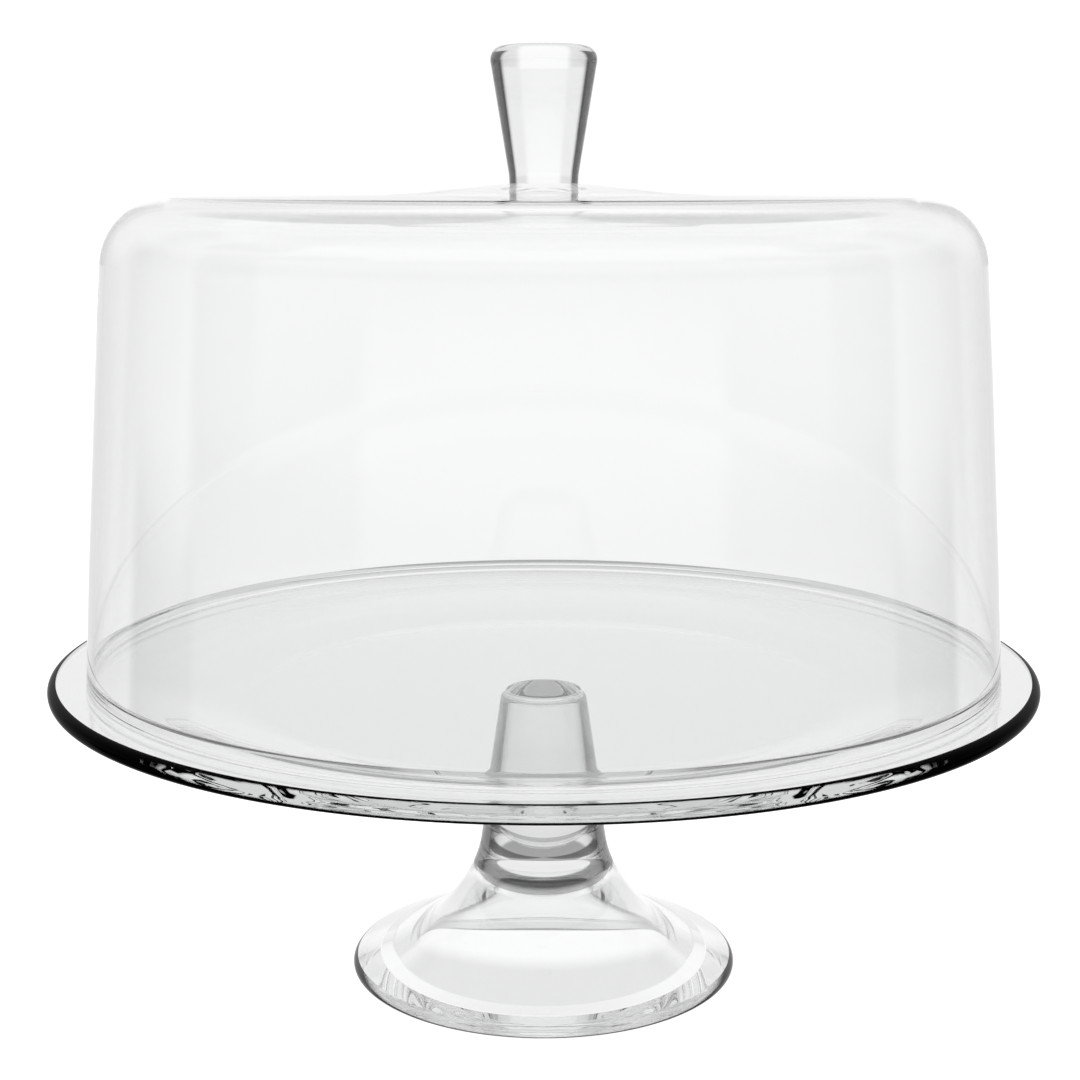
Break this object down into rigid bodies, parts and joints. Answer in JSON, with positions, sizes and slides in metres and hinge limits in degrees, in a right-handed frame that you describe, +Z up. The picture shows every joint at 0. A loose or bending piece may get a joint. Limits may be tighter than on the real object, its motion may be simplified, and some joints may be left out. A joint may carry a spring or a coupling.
{
  "type": "cake stand with dome cover",
  "caption": "Clear glass footed cake stand with a flat-ledged plate, a tall round dome cover that lifts off and a solid tapered knob.",
  "frame": {"origin": "centre of the foot's contact ring, on the surface that the stand rests on", "axes": "+Z up along the stand's axis of revolution, through the knob; +X and +Y are alike"},
  "size_m": [0.322, 0.322, 0.3052],
  "materials": {
    "clear_glass": "thick pressed clear glass, polished",
    "cover_glass": "thin clear glass, polished"
  },
  "bodies": {
    "stand": {"pedestal": "clear_glass", "pedestal_weld": "clear_glass", "plate": "clear_glass"},
    "cover": {"dome_shell": "cover_glass", "knob_weld": "cover_glass", "knob": "clear_glass"}
  },
  "joints": [
    {"name": "cover_lift", "type": "slide", "parent": "stand", "child": "cover", "axis": [0, 0, 1], "range_m": [0, 0.2]}
  ]
}
